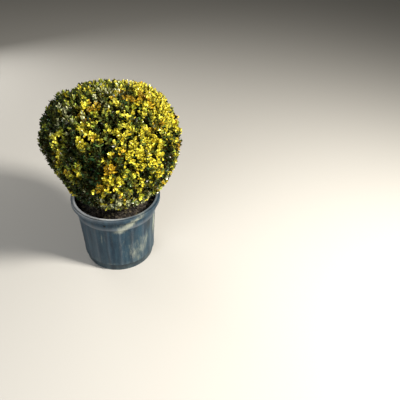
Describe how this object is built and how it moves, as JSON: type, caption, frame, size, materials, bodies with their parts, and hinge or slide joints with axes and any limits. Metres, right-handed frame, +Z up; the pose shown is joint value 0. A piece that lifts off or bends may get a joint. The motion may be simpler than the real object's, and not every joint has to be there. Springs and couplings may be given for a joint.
{
  "type": "box topiary ball in a nursery pot",
  "caption": "Clipped box ball with small leaves on a short stem, growing in a round fluted plastic nursery pot filled with potting mix.",
  "frame": {"origin": "middle of the pot's flat underside", "axes": "+Z up from the pot through the ball, -Y towards the side that the picture shows, +X to the right seen from there"},
  "size_m": [0.5552, 0.5727, 0.837],
  "materials": {
    "pot_plastic": "weathered black plastic gone blue grey, dusty, with a paler rim",
    "potting_mix": "moist dark composted bark with lighter crumbs",
    "bark": "greyish brown finely fissured bark",
    "box_leaves": "small glossy leaves, dark green to golden green with bronze tips"
  },
  "bodies": {
    "root": {"nursery_pot": "pot_plastic", "potting_mix": "potting_mix", "main_stem": "bark", "foliage_ball": "box_leaves"}
  },
  "joints": []
}
